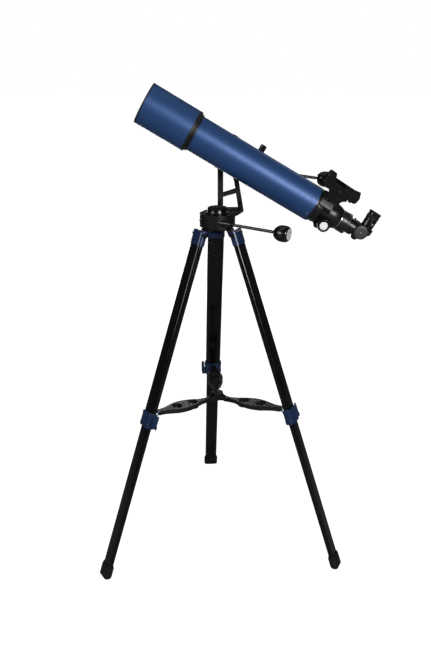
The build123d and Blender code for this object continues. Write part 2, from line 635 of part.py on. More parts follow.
def slow_knob(origin, direction):
    """Flared knob with ten finger flutes."""
    with BuildPart() as knob:
        add(turned(origin, direction, [
            (4.43, -9.5), (8.0, -9.5), (11.5, -7.6), (16.2, -3.0), (19.8, 2.5), (22.2, 9.0),
            (KNOB_R, 15.0), (KNOB_R, 24.0), (22.2, 29.5), (20.2, 33.6), (17.6, 36.0),
            (16.0, 36.0), (16.0, 34.2), (4.43, 34.2)]))
        base = Plane(origin=origin, z_dir=direction)
        for k in range(10):
            angle = 2 * math.pi * k / 10
            radial = base.x_dir * math.cos(angle) + base.y_dir * math.sin(angle)
            add(rod(origin + radial * (KNOB_R + 4.4) + direction * 1.0, direction, 5.2, 38.0),
                mode=Mode.SUBTRACT)
    return knob.part


def save_control(name, origin, direction, sleeve_start, sleeve_end, socket_end, knob_at):
    """Sleeve over the worm shaft, a thin rod beyond it and a knob on the rod's end."""
    socket_r = WORM_SHAFT_R + 0.02
    rod_end = knob_at + 34.0
    with BuildPart() as control:
        add(turned(origin, direction, [
            (socket_r, sleeve_start), (6.6, sleeve_start), (6.6, sleeve_end - 2.0),
            (5.8, sleeve_end), (4.4, sleeve_end), (4.4, rod_end), (0, rod_end),
            (0, socket_end), (socket_r, socket_end)]))
        add(slow_knob(origin + direction * knob_at, direction))
    save(control, name)


# ================================================================ altitude axis
ALT_WORM_DISTANCE = 44.0         # worm to wheel, centre to centre
ALT_WORM_DROOP = math.radians(8)
ALT_WORM_DIR = Vector(math.cos(ALT_WORM_DROOP), 0, -math.sin(ALT_WORM_DROOP))
ALT_WORM = Vector(ALT_X - ALT_WORM_DISTANCE * math.sin(ALT_WORM_DROOP), 89.5,
                  ALT_Z - ALT_WORM_DISTANCE * math.cos(ALT_WORM_DROOP))
AZ_SPINDLE_R = 10.0
HUB_R, HUB_BOTTOM, HUB_TOP = 52.3, 1061.0, 1095.0
PLATE_TOP = 1103.0               # mount arm's foot plate

with BuildPart() as altitude_axle:
    add(turned(on_altitude(0), SIDE, [
        (0, 66.0), (11.95, 66.0), (11.95, 78.0), (26.0, 78.0), (26.0, 80.2), (12.0, 80.2),
        (12.0, 101.5), (0, 101.5)]))
    # end nut, a separate solid
    add(knurled(on_altitude(101.6), SIDE, 15.0, 0.8, 18, 6.4))
    add(turned(on_altitude(101.6), SIDE, [(0, 6.4), (14.2, 6.4), (13.0, 7.6), (0, 8.0)]))
save(altitude_axle, "altitude_axle")

with BuildPart() as altitude_wheel:
    add(knurled(on_altitude(85.0), SIDE, 37.6, 1.6, 60, 9.0, 0.38))
    add(ring(on_altitude(83.4), SIDE, 18.0, 12.0, 12.4))
    add(rod(on_altitude(80.0), SIDE, 12.0, 20.0), mode=Mode.SUBTRACT)
save(altitude_wheel, "altitude_wheel")

ARM_Y0, ARM_Y1 = 80.6, 98.4


def arm_prism(points, inset=0.0):
    """Outline of (x, z) through the arm's thickness, less an inset on each face."""
    plane = Plane(origin=(0, ARM_Y1 - inset, 0), x_dir=(1, 0, 0), z_dir=(0, -1, 0))
    return prism(plane, points, ARM_Y1 - ARM_Y0 - 2 * inset)


with BuildPart() as mount_arm:
    add(rod(on_altitude(ARM_Y0), SIDE, 48.0, ARM_Y1 - ARM_Y0))
    # worm barrel under the housing, and the web that joins them
    add(turned(ALT_WORM + ALT_WORM_DIR * -34, ALT_WORM_DIR, [
        (0, 0), (9.6, 0), (11.5, 2), (11.5, 70), (9.6, 72), (0, 72)]))
    add(arm_prism([(-11, 1262), (-7.0, 1226), (62.0, 1214), (76, 1255)]))
    # front post, rear strut and the brace between them
    add(arm_prism([(1.0, HUB_TOP + 1), (18.0, HUB_TOP + 1), (18.0, 1216), (22, 1232),
                   (-4, 1232), (1.0, 1216)]))
    add(arm_prism([(64.0, HUB_TOP + 1), (79.0, HUB_TOP + 1), (78.2, 1108), (64.3, 1186),
                   (65.5, 1216), (40, 1224), (43, 1206), (50.5, 1182)]))
    add(arm_prism([(10, 1135.5), (18, 1136.2), (66, 1149.5), (62, 1162.5), (18, 1148.8),
                   (10, 1148.0)], inset=2))
    # foot plate over the azimuth hub
    add(rod(UP * HUB_TOP, UP, HUB_R, PLATE_TOP - HUB_TOP))
    add(prism(Plane(origin=(0, 0, HUB_TOP)), [
        (-46, 24), (-16, ARM_Y1), (79, ARM_Y1), (79, 62), (61, 8), (50, -14), (0, 0)],
        PLATE_TOP - HUB_TOP))
    # ribs from the foot plate to the post and the strut
    for x in (6.5, 66.5):
        add(prism(Plane(origin=(x, 0, 0), x_dir=SIDE, z_dir=(1, 0, 0)),
                  [(62, 1102), (84, 1102), (84, 1134)], 6.0))
    add(oval(Plane(origin=(46, 34, 1090), x_dir=(0.5, 0.87, 0), z_dir=(0, 0, 1)), 17, 8, 20),
        mode=Mode.SUBTRACT)
    # wheel pocket, axle bore, worm tunnel and its journals
    add(rod(on_altitude(83.2), SIDE, 40.0, 20.0), mode=Mode.SUBTRACT)
    add(rod(on_altitude(78.0), SIDE, 12.06, 30.0), mode=Mode.SUBTRACT)
    add(rod(ALT_WORM + ALT_WORM_DIR * -22, ALT_WORM_DIR, 7.0, 44.0), mode=Mode.SUBTRACT)
    add(rod(ALT_WORM + ALT_WORM_DIR * -30, ALT_WORM_DIR, WORM_BORE_R, 80.0),
        mode=Mode.SUBTRACT)
    # azimuth spindle bore
    add(rod(UP * 1090.0, UP, AZ_SPINDLE_R + 0.06, 20.0), mode=Mode.SUBTRACT)
    # cover plate over the wheel, a separate solid
    add(turned(on_altitude(0), SIDE, [
        (12.3, 96.2), (39.9, 96.2), (39.9, 98.6), (38.9, 99.6), (12.3, 99.6)]))
save(mount_arm, "mount_arm")

with BuildPart() as altitude_worm:
    add(worm(ALT_WORM, ALT_WORM_DIR))
    add(rod(ALT_WORM + ALT_WORM_DIR * -29, ALT_WORM_DIR, WORM_SHAFT_R, 96.0))
save(altitude_worm, "altitude_worm")

save_control("altitude_control", ALT_WORM, ALT_WORM_DIR,
             sleeve_start=44.0, sleeve_end=68.0, socket_end=67.2, knob_at=285.0)

# ================================================================ azimuth axis
AZ_WORM_DISTANCE = 34.0
AZ_WORM_Z = 1084.5
AZ_WORM_TURN = math.radians(29.3)    # from +X towards -Y
AZ_WORM_DROOP = math.radians(3.0)
AZ_WORM_DIR = Vector(math.cos(AZ_WORM_TURN) * math.cos(AZ_WORM_DROOP),
                     -math.sin(AZ_WORM_TURN) * math.cos(AZ_WORM_DROOP),
                     -math.sin(AZ_WORM_DROOP))
AZ_WORM = Vector(-AZ_WORM_DISTANCE * math.sin(AZ_WORM_TURN),
                 -AZ_WORM_DISTANCE * math.cos(AZ_WORM_TURN), AZ_WORM_Z)

with BuildPart() as azimuth_housing:
    add(turned(FLOOR, UP, [
        (0, HUB_BOTTOM), (44.0, HUB_BOTTOM), (49.5, 1064.5), (HUB_R, 1066.0),
        (HUB_R, HUB_TOP), (0, HUB_TOP)]))
    add(turned(AZ_WORM + AZ_WORM_DIR * -36, AZ_WORM_DIR, [
        (0, 0), (8.5, 0), (10.4, 2), (10.4, 88), (8.5, 90), (0, 90)]))
    # trims the worm barrel level with the underside of the foot plate
    add(block(Plane(origin=(0, 0, HUB_TOP)), 240, 240, 10), mode=Mode.SUBTRACT)
    # wheel chamber, spindle bore, worm tunnel and its journals
    add(rod(UP * 1071.0, UP, 30.0, 21.0), mode=Mode.SUBTRACT)
    add(rod(UP * 1050.0, UP, AZ_SPINDLE_R + 0.06, 60.0), mode=Mode.SUBTRACT)
    add(rod(AZ_WORM + AZ_WORM_DIR * -22, AZ_WORM_DIR, 7.0, 44.0), mode=Mode.SUBTRACT)
    add(rod(AZ_WORM + AZ_WORM_DIR * -30, AZ_WORM_DIR, WORM_BORE_R, 100.0),
        mode=Mode.SUBTRACT)
save(azimuth_housing, "azimuth_housing")

with BuildPart() as azimuth_worm:
    add(worm(AZ_WORM, AZ_WORM_DIR))
    add(rod(AZ_WORM + AZ_WORM_DIR * -29, AZ_WORM_DIR, WORM_SHAFT_R, 99.0))
save(azimuth_worm, "azimuth_worm")

save_control("azimuth_control", AZ_WORM, AZ_WORM_DIR,
             sleeve_start=56.0, sleeve_end=72.0, socket_end=70.2, knob_at=208.0)

with BuildPart() as azimuth_wheel:
    add(knurled(UP * 1080.0, UP, 27.7, 1.5, 44, 9.0, 0.38))
    add(ring(UP * 1072.0, UP, 16.0, AZ_SPINDLE_R, 18.5))
    add(rod(UP * 1060.0, UP, AZ_SPINDLE_R, 40.0), mode=Mode.SUBTRACT)
save(azimuth_wheel, "azimuth_wheel")

with BuildPart() as azimuth_clamp_knob:
    add(turned(FLOOR, UP, [
        (0, 1103.3), (33.0, 1103.3), (33.6, 1103.9), (33.6, 1106.2), (30.0, 1106.8),
        (29.4, 1108.0), (29.4, 1119.5), (27.6, 1121.6), (23.0, 1122.4), (0, 1122.6)]))
    add(rod(UP * 1100.0, UP, AZ_SPINDLE_R + 0.06, 4.1), mode=Mode.SUBTRACT)
    add(rod(UP * 1100.0, UP, 6.05, 17.1), mode=Mode.SUBTRACT)
save(azimuth_clamp_knob, "azimuth_clamp_knob")

# ================================================================ leg frames
LEG_AZIMUTHS = (93.6, 213.6, 333.6)
# the leg's centre line runs from (LEG_TOP_R, LEG_TOP_Z) to the floor at LEG_FLOOR_R
LEG_TOP_R, LEG_TOP_Z, LEG_FLOOR_R = 36.1, 1119.1, 425.5
LEG_SPAN = math.hypot(LEG_FLOOR_R - LEG_TOP_R, LEG_TOP_Z)
LEG_RUN = (LEG_FLOOR_R - LEG_TOP_R) / LEG_SPAN      # outwards per mm of leg
LEG_FALL = LEG_TOP_Z / LEG_SPAN                     # downwards per mm of leg
PIVOT_Z = 1047.0
PIVOT_LENGTH = (LEG_TOP_Z - PIVOT_Z) / LEG_FALL
PIVOT_R = LEG_TOP_R + (LEG_TOP_Z - PIVOT_Z) * LEG_RUN / LEG_FALL
PIVOT_BOLT_R = 4.0
PIVOT_BORE_R = PIVOT_BOLT_R + 0.06
TRAY_PIN_R, TRAY_Z = 222.0, 515.0                   # tray hinge pin at the leg collar
HUB_PIN_R, HUB_PIN_Z = 30.0, 508.0                  # hinge pin at the tray hub


class Leg:
    """Directions and key points of one leg; lengths run down its centre line."""

    def __init__(self, azimuth):
        angle = math.radians(azimuth)
        self.out = Vector(math.cos(angle), math.sin(angle), 0)
        self.across = Vector(-math.sin(angle), math.cos(angle), 0)
        self.down = self.out * LEG_RUN - UP * LEG_FALL
        self.face = self.out * LEG_FALL + UP * LEG_RUN      # square to the outer face
        self.pivot = self.out * PIVOT_R + UP * PIVOT_Z
        self.tray_pin = self.out * TRAY_PIN_R + UP * TRAY_Z
        self.hub_pin = self.out * HUB_PIN_R + UP * HUB_PIN_Z

    def at(self, length):
        return self.out * LEG_TOP_R + UP * LEG_TOP_Z + self.down * length

    def plane(self, length):
        return Plane(origin=self.at(length), x_dir=self.across, z_dir=self.down)

    def upright_prism(self, across, points, amount):
        """Outline of (radius, z), from a place across the leg back against across."""
        plane = Plane(origin=self.across * across, x_dir=self.out, z_dir=self.across * -1)
        return prism(plane, points, amount)


LEGS = [Leg(azimuth) for azimuth in LEG_AZIMUTHS]

# ================================================================ tripod head
with BuildPart() as tripod_head:
    # thin three-armed plate under the hub, a deep lug at the end of each arm
    add(rod(UP * 1056.6, UP, 34.0, 4.0))
    for leg in LEGS:
        add(leg.upright_prism(17.0, [
            (0, 1056.6), (38, 1056.6), (41, 1051), (46, 1041), (50, 1037.8),
            (PIVOT_R, 1037.8), (PIVOT_R, 1056.2), (47, 1056.2), (43.5, 1060.6),
            (0, 1060.6)], 34.0))
        add(rod(leg.pivot - leg.across * 17.0, leg.across, 9.2, 34.0))
    for leg in LEGS:
        add(rod(leg.pivot - leg.across * 30.0, leg.across, PIVOT_BORE_R, 60.0),
            mode=Mode.SUBTRACT)
    add(rod(UP * 1040.0, UP, AZ_SPINDLE_R, 40.0), mode=Mode.SUBTRACT)
save(tripod_head, "tripod_head")

with BuildPart() as pivot_bolts:
    for leg in LEGS:
        add(rod(leg.pivot - leg.across * 29.0, leg.across, PIVOT_BOLT_R, 58.0))
        for sign in (-1, 1):
            add(knurled(leg.pivot + leg.across * (sign * 26.5), leg.across * sign,
                        7.2, 0.9, 6, 4.4, 0.72))
    # azimuth spindle bolt
    add(turned(FLOOR, UP, [
        (0, 1053.0), (14.0, 1053.0), (14.0, 1056.55), (AZ_SPINDLE_R, 1056.55),
        (AZ_SPINDLE_R, 1104.0), (6.0, 1104.0), (6.0, 1117.0), (0, 1117.0)]))
save(pivot_bolts, "pivot_bolts")

# ================================================================ legs
UPPER_W, UPPER_T, UPPER_WALL = 50.6, 20.0, 1.6
LOWER_W, LOWER_T, LOWER_WALL = 43.8, 15.8, 1.5
UPPER_TOP, UPPER_BOTTOM = PIVOT_LENGTH + 15.0, 668.0
LOWER_TOP, LOWER_BOTTOM = 598.0, 1168.0
COLLAR_LENGTH = 653.4            # middle of the lock collar
LEVER_LENGTH = COLLAR_LENGTH + 16.0
LEVER_ACROSS = 34.5              # lever pivot
FOOT_TOP = 1146.0
TRAY_PIN_BORE_R = 2.55


def leg_bracket(leg):
    """Capped bracket on the head lug, a sleeve over the top of the leg."""
    with BuildPart() as bracket:
        add(oval(leg.plane(PIVOT_LENGTH), 54.6, 24.0, 31.0))
        with BuildPart() as cap:
            add(oval(leg.plane(PIVOT_LENGTH - 14.0), 54.6, 24.0, 14.4))
            add(rod(leg.pivot - leg.across * 30, leg.across, 13.4, 60.0),
                mode=Mode.INTERSECT)
        add(cap.part)
        add(oval(leg.plane(UPPER_TOP), UPPER_W, UPPER_T, 40.0), mode=Mode.SUBTRACT)
        # pocket for the lug, open to the inner side
        pocket_side = leg.pivot - leg.across * 17.3
        add(rod(pocket_side, leg.across, 9.8, 34.6), mode=Mode.SUBTRACT)
        add(prism(Plane(origin=pocket_side, x_dir=leg.face, z_dir=leg.across), [
            (3.55, 10.2), (-21.7, 19.0), (-21.7, -12.5), (-2.0, -12.5), (1.0, -9.8)], 34.6),
            mode=Mode.SUBTRACT)
        # bolt bore and recesses for its heads
        add(rod(leg.pivot - leg.across * 40, leg.across, PIVOT_BORE_R, 80.0),
            mode=Mode.SUBTRACT)
        for sign in (-1, 1):
            add(rod(leg.pivot + leg.across * (sign * 26.4), leg.across * sign, 7.5, 10.0),
                mode=Mode.SUBTRACT)
    return bracket.part


def upper_socket(leg):
    """Room in the collar for the end of the upper leg."""
    return oval(leg.plane(COLLAR_LENGTH - 30.0), UPPER_W, UPPER_T, 44.6)


def leg_collar(leg):
    """Lock collar where the lower leg slides into the upper."""
    with BuildPart() as collar:
        add(oval(leg.plane(COLLAR_LENGTH - 24.0), 58.0, 30.0, 48.0))
        add(oval(leg.plane(COLLAR_LENGTH - 21.0), 59.6, 31.6, 8.0))
        add(oval(leg.plane(COLLAR_LENGTH + 12.0), 59.6, 31.6, 9.0))
        add(upper_socket(leg), mode=Mode.SUBTRACT)
        add(oval(leg.plane(COLLAR_LENGTH), LOWER_W + 0.14, LOWER_T + 0.14, 60.0),
            mode=Mode.SUBTRACT)
        # two ears for the lever pin on the side
        for sign in (-1, 1):
            ear = leg.at(LEVER_LENGTH) + leg.across * 24.0 + leg.face * (sign * 9.9)
            add(block(Plane(origin=ear, x_dir=leg.down, z_dir=leg.across), 12.0, 2.4, 15.2))
        add(rod(leg.at(LEVER_LENGTH) + leg.across * LEVER_ACROSS - leg.face * 15, leg.face,
                2.05, 30.0), mode=Mode.SUBTRACT)
        # ears for the tray arm, on the inner face
        for sign in (-1, 1):
            ear = leg.tray_pin + leg.across * (sign * 8.2)
            add(prism(Plane(origin=ear, x_dir=leg.out, z_dir=leg.across), [
                (-5, -5), (10, -5), (17, -7), (17, 7), (10, 5), (-5, 5)], 3.4 * sign))
        add(rod(leg.tray_pin - leg.across * 30, leg.across, TRAY_PIN_BORE_R, 60.0),
            mode=Mode.SUBTRACT)
        # cuts away what the ears put into the socket
        add(upper_socket(leg), mode=Mode.SUBTRACT)
    return collar.part


def save_leg(leg, number):
    with BuildPart() as upper:
        add(oval(leg.plane(UPPER_TOP), UPPER_W, UPPER_T, UPPER_BOTTOM - UPPER_TOP))
        add(oval(leg.plane(UPPER_TOP - 5.0), UPPER_W - 2 * UPPER_WALL,
                 UPPER_T - 2 * UPPER_WALL, 700.0), mode=Mode.SUBTRACT)
    save(upper, f"leg_upper_{number}")

    # two separate solids
    with BuildPart() as fittings:
        add(leg_bracket(leg))
        add(leg_collar(leg))
    save(fittings, f"leg_fittings_{number}")

    # cam lever, folded flat up along the collar
    with BuildPart() as lever:
        hinge = leg.at(LEVER_LENGTH) + leg.across * LEVER_ACROSS
        add(rod(hinge - leg.face * 8.5, leg.face, 4.4, 17.0))
        add(rod(hinge - leg.face * 11.2, leg.face, 2.0, 22.4))
        add(prism(Plane(origin=hinge + leg.face * 8.5, x_dir=leg.down * -1,
                        z_dir=leg.face * -1), [
            (0, -3.7), (34, -3.7), (36.5, -2.0), (37.4, 1.0), (36.6, 4.6), (33.5, 5.9),
            (4, 5.9), (0, 4.4)], 17.0))
    save(lever, f"leg_lever_{number}")

    with BuildPart() as lower:
        add(oval(leg.plane(LOWER_TOP), LOWER_W, LOWER_T, LOWER_BOTTOM - LOWER_TOP))
        add(oval(leg.plane(LOWER_TOP - 8.0), LOWER_W - 2 * LOWER_WALL,
                 LOWER_T - 2 * LOWER_WALL, 600.0), mode=Mode.SUBTRACT)
    save(lower, f"leg_lower_{number}")

    with BuildPart() as foot:
        add(oval(leg.plane(FOOT_TOP), 48.0, 20.6, 8.0))
        add(oval(leg.plane(FOOT_TOP + 6.0), 52.0, 24.4, 36.0))
        add(oval(leg.plane(FOOT_TOP - 5.0), LOWER_W, LOWER_T, 5.0 + LOWER_BOTTOM - FOOT_TOP),
            mode=Mode.SUBTRACT)
        # cut flat at the floor
        add(block(Plane(origin=(0, 0, -60)), 2000, 2000, 60), mode=Mode.SUBTRACT)
    save(foot, f"leg_foot_{number}")


# ================================================================ folding tray
TRAY_HOLES = (93.0, 151.0)       # eyepiece holes, along the leaf
TRAY_HOLE_R = 16.0
# leaf edge: distance along the leaf, half width; the end point is added per call
LEAF_EDGE = ((50, 6.6), (76, 13.0), (100, 22.0), (124, 26.5), (154, 24.0), (190, 11.5))
LEAF_END_HALF, LEAF_NECK_HALF = 8.0, 5.6


def save_tray_arm(leg, number):
    """Leaf open below, with two ringed holes and a slot at the hub pin.
    It slopes slightly down to the hub."""
    run, rise = TRAY_PIN_R - HUB_PIN_R, TRAY_Z - HUB_PIN_Z
    along = (leg.out * run + UP * rise).normalized()
    above = (UP * run - leg.out * rise).normalized()
    pin = leg.tray_pin

    def leaf(distance, height=0.0):
        return pin + along * (distance - TRAY_PIN_R) + above * height

    def leaf_solid(inset, base, amount, inner_end, outer_end):
        edge = [(x, half - inset) for x, half in LEAF_EDGE]
        edge.append((outer_end, LEAF_END_HALF - inset))
        mirrored = [(x, -half) for x, half in reversed(edge)]
        neck_x, neck_y = edge[0]
        neck_half = LEAF_NECK_HALF - inset
        with BuildPart() as solid:
            with BuildSketch(Plane(origin=leaf(0, base), x_dir=along, z_dir=above)):
                with BuildLine():
                    Spline(*edge, tangents=((1, 0), (1, 0)))
                    Line(edge[-1], mirrored[0])
                    Spline(*mirrored, tangents=((-1, 0), (-1, 0)))
                    Polyline((neck_x, -neck_y), (neck_x, -neck_half),
                             (inner_end, -neck_half), (inner_end, neck_half),
                             (neck_x, neck_half), (neck_x, neck_y))
                make_face()
            extrude(amount=amount)
        return solid.part

    with BuildPart() as arm:
        add(leaf_solid(0.0, -9.0, 14.0, 25.0, 217.0))
        add(leaf_solid(2.0, -9.5, 12.5, 60.0, 200.0), mode=Mode.SUBTRACT)
        for distance in TRAY_HOLES:
            add(ring(leaf(distance, -12.5), above, 18.2, 15.9, 17.5))
        add(rod(pin - leg.across * 7.9, leg.across, 4.6, 15.8))
        add(block(Plane(origin=leaf(212, -0.5), x_dir=leg.across, z_dir=along),
                  15.8, 7.0, 9.0))
        # the outer end is trimmed clear of the collar
        add(prism(Plane(origin=pin - leg.across * 12, x_dir=along, z_dir=leg.across * -1),
                  [(-3, -4.7), (4, -4.7), (4, -14), (-3, -14)], -24), mode=Mode.SUBTRACT)
        for distance in TRAY_HOLES:
            add(rod(leaf(distance, -20.0), above, TRAY_HOLE_R, 40), mode=Mode.SUBTRACT)
        add(rod(pin - leg.across * 30, leg.across, TRAY_PIN_BORE_R, 60.0),
            mode=Mode.SUBTRACT)
        # slot for the hub pin
        add(oval(Plane(origin=leaf(35.2, 0.22) - leg.across * 20, x_dir=along,
                       z_dir=leg.across), 14.8, 5.0, 40.0), mode=Mode.SUBTRACT)
        # hinge pin at the collar, a separate solid
        add(rod(pin - leg.across * 12.6, leg.across, 2.5, 25.2))
    save(arm, f"tray_arm_{number}")


for number, leg in enumerate(LEGS, 1):
    save_leg(leg, number)
    save_tray_arm(leg, number)

EAR_GAP_HALF, EAR_THICKNESS = 6.4, 2.6
with BuildPart() as tray_hub:
    add(turned(FLOOR, UP, [
        (0, 497.0), (9.0, 497.0), (9.6, 498.0), (9.6, 520.0), (17.0, 520.0), (18.5, 521.0),
        (18.5, 523.5), (17.0, 525.0), (0, 525.4)]))
    # a pair of ears for each leaf
    for leg in LEGS:
        for across in (-EAR_GAP_HALF, EAR_GAP_HALF + EAR_THICKNESS):
            add(leg.upright_prism(across, [
                (4, 499), (26, 502.6), (35, 504.0), (35, 511.6), (26, 513), (12, 520.5),
                (4, 520.5)], EAR_THICKNESS))
    # pin bores, and the gap between the ears cleared
    for leg in LEGS:
        add(rod(leg.hub_pin - leg.across * 20, leg.across, 1.25, 40.0), mode=Mode.SUBTRACT)
        add(leg.upright_prism(EAR_GAP_HALF, [
            (9.8, 483), (60, 483), (60, 519.9), (9.8, 519.9)], 2 * EAR_GAP_HALF),
            mode=Mode.SUBTRACT)
    # hinge pins
    for leg in LEGS:
        add(rod(leg.hub_pin - leg.across * 9.8, leg.across, 1.2, 19.6))
save(tray_hub, "tray_hub")
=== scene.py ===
"""Refracting telescope on a three-legged mount with slow-motion controls.

Metres, +Z up, feet on z = 0. The tube lies in the XZ plane, its front end raised towards -X,
and the camera looks from -Y. The CAD pieces get their materials here, and small turned parts
(knob discs, lock nuts, rivets, a trim ring) are added. Turned profiles are in millimetres.
"""
import bpy
import bmesh
import json
import math
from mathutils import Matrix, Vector


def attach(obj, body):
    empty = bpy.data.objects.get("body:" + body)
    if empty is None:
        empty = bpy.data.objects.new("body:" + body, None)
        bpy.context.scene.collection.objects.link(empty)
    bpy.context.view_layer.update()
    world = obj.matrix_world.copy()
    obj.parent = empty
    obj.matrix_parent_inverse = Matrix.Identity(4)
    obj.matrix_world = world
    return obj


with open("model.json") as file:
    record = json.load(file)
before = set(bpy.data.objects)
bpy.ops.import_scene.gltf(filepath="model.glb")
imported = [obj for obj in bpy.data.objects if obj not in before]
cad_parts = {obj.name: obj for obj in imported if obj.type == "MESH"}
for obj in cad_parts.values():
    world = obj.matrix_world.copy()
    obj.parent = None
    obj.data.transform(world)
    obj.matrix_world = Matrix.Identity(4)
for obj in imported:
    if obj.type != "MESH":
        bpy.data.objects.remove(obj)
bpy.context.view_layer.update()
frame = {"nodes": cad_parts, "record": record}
NODES = frame["nodes"]
scene = bpy.context.scene

UP = Vector((0, 0, 1))

# Tube: the axis passes through TUBE_CENTRE, level with the altitude axis
TUBE_ELEVATION = math.radians(30.2)
TUBE_CENTRE = Vector((0, 0, 1.2919))
TUBE_FORWARD = Vector((-math.cos(TUBE_ELEVATION), 0, math.sin(TUBE_ELEVATION)))
TUBE_INNER_LIMIT = 0.0508       # surfaces nearer the axis than this count as inside
SHIELD_EXTRA_RADIUS = 0.0082    # added to the limit within the dew shield
SHIELD_FROM = 0.087             # distance along the axis, just behind the shield's rear edge

MATERIALS = {}


# ---------------------------------------------------------------- shader building
class Surface:
    """A Principled material with short calls for its nodes; it registers itself by name."""

    def __init__(self, name):
        self.material = bpy.data.materials.new(name)
        self.material.use_nodes = True
        self.tree = self.material.node_tree
        self.shader = self.tree.nodes["Principled BSDF"]
        self.position = self.add("ShaderNodeTexCoord").outputs["Object"]
        MATERIALS[name] = self.material

    def add(self, kind):
        return self.tree.nodes.new(kind)

    def put(self, socket, value):
        """Link value if it is a socket, otherwise store it."""
        if isinstance(value, bpy.types.NodeSocket):
            self.tree.links.new(value, socket)
        else:
            socket.default_value = value

    def set(self, **inputs):
        """Set shader inputs by name, with underscores for spaces."""
        for name, value in inputs.items():
            self.put(self.shader.inputs[name.replace("_", " ")], value)

    def noise(self, scale, detail=3.0, roughness=0.5):
        node = self.add("ShaderNodeTexNoise")
        node.inputs["Scale"].default_value = scale
        node.inputs["Detail"].default_value = detail
        node.inputs["Roughness"].default_value = roughness
        self.put(node.inputs["Vector"], self.position)
        return node.outputs["Fac"]

    def remap(self, value, span, to):
        """Map the range span of value onto the range to."""
        node = self.add("ShaderNodeMapRange")
        self.put(node.inputs["Value"], value)
        for name, limit in zip(("From Min", "From Max", "To Min", "To Max"), (*span, *to)):
            node.inputs[name].default_value = limit
        return node.outputs["Result"]

    def math(self, operation, first, second, clamp=False):
        node = self.add("ShaderNodeMath")
        node.operation = operation
        node.use_clamp = clamp
        self.put(node.inputs[0], first)
        self.put(node.inputs[1], second)
        return node.outputs[0]

    def vector_math(self, operation, first, second=None):
        node = self.add("ShaderNodeVectorMath")
        node.operation = operation
        self.put(node.inputs[0], first)
        if second is not None:
            self.put(node.inputs[1], second)
        is_scalar = operation in ("DOT_PRODUCT", "LENGTH")
        return node.outputs["Value" if is_scalar else "Vector"]

    def mix(self, factor, first, second):
        """Mix two colours, each a socket or an RGB triple."""
        node = self.add("ShaderNodeMix")
        node.data_type = "RGBA"
        self.put(node.inputs[0], factor)
        for index, colour in ((6, first), (7, second)):
            is_socket = isinstance(colour, bpy.types.NodeSocket)
            self.put(node.inputs[index], colour if is_socket else (*colour, 1))
        return node.outputs[2]

    def bevel(self, radius):
        """Shading normal with edges rounded off."""
        node = self.add("ShaderNodeBevel")
        node.samples = 4
        node.inputs["Radius"].default_value = radius
        return node.outputs["Normal"]

    def edge_mask(self, bevel_normal):
        """1 on sharp edges, 0 on open faces."""
        geometry = self.add("ShaderNodeNewGeometry")
        agreement = self.vector_math("DOT_PRODUCT", bevel_normal, geometry.outputs["Normal"])
        return self.remap(agreement, span=(0.995, 0.86), to=(0.0, 1.0))

    def bump(self, height, strength, distance, normal):
        node = self.add("ShaderNodeBump")
        node.inputs["Strength"].default_value = strength
        node.inputs["Distance"].default_value = distance
        self.put(node.inputs["Height"], height)
        self.put(node.inputs["Normal"], normal)
        self.set(Normal=node.outputs["Normal"])


# ---------------------------------------------------------------- materials
def make_tube_blue():
    """Satin metallic blue with fine flakes, flat black inside the tube."""
    surface = Surface("tube_blue")
    cloud = surface.noise(scale=4.0)
    flake = surface.noise(scale=2600.0, detail=1.0)
    peel = surface.noise(scale=420.0, detail=2.0)
    dust = surface.noise(scale=90.0, detail=6.0, roughness=0.65)
    normal = surface.bevel(radius=0.0005)
    edge = surface.edge_mask(normal)
    base = surface.mix(surface.remap(cloud, span=(0.35, 0.65), to=(0.0, 1.0)),
                       (0.021, 0.068, 0.204), (0.025, 0.077, 0.224))
    base = surface.mix(surface.remap(flake, span=(0.62, 0.75), to=(0.0, 0.12)),
                       base, (0.06, 0.14, 0.32))
    worn = surface.math("MULTIPLY", edge,
                        surface.remap(dust, span=(0.5, 0.72), to=(0.0, 0.5)), clamp=True)
    surface.set(
        Base_Color=surface.mix(worn, base, (0.30, 0.34, 0.42)),
        Metallic=0.42, Coat_Weight=0.12, Coat_Roughness=0.3,
        Roughness=surface.math("ADD",
                               surface.remap(dust, span=(0.3, 0.7), to=(0.42, 0.48)),
                               surface.remap(flake, span=(0.3, 0.7), to=(-0.03, 0.03))))
    surface.bump(peel, strength=0.012, distance=0.0002, normal=normal)
    blacken_inside(surface)


def blacken_inside(surface):
    """Turn a finished paint flat black wherever it lies close to the tube axis."""
    position = surface.add("ShaderNodeTexCoord").outputs["Object"]
    offset = surface.vector_math("SUBTRACT", position, TUBE_CENTRE)
    across = surface.vector_math("CROSS_PRODUCT", offset, TUBE_FORWARD)
    radius = surface.vector_math("LENGTH", across)
    along = surface.vector_math("DOT_PRODUCT", offset, TUBE_FORWARD)
    in_shield = surface.math("GREATER_THAN", along, SHIELD_FROM)
    limit = surface.math("ADD", surface.math("MULTIPLY", in_shield, SHIELD_EXTRA_RADIUS),
                         TUBE_INNER_LIMIT)
    inside = surface.math("LESS_THAN", radius, limit)
    inputs = surface.shader.inputs

    def outside_only(name):
        outside = surface.math("SUBTRACT", 1.0, inside)
        return surface.math("MULTIPLY", outside, inputs[name].default_value)

    paint_colour = inputs["Base Color"].links[0].from_socket
    surface.set(Base_Color=surface.mix(inside, paint_colour, (0.004, 0.004, 0.004)))
    surface.set(Metallic=outside_only("Metallic"))
    paint_roughness = inputs["Roughness"].links[0].from_socket
    surface.set(Roughness=surface.math("MAXIMUM", paint_roughness,
                                       surface.math("MULTIPLY", inside, 0.9)))
    surface.set(Coat_Weight=outside_only("Coat Weight"))


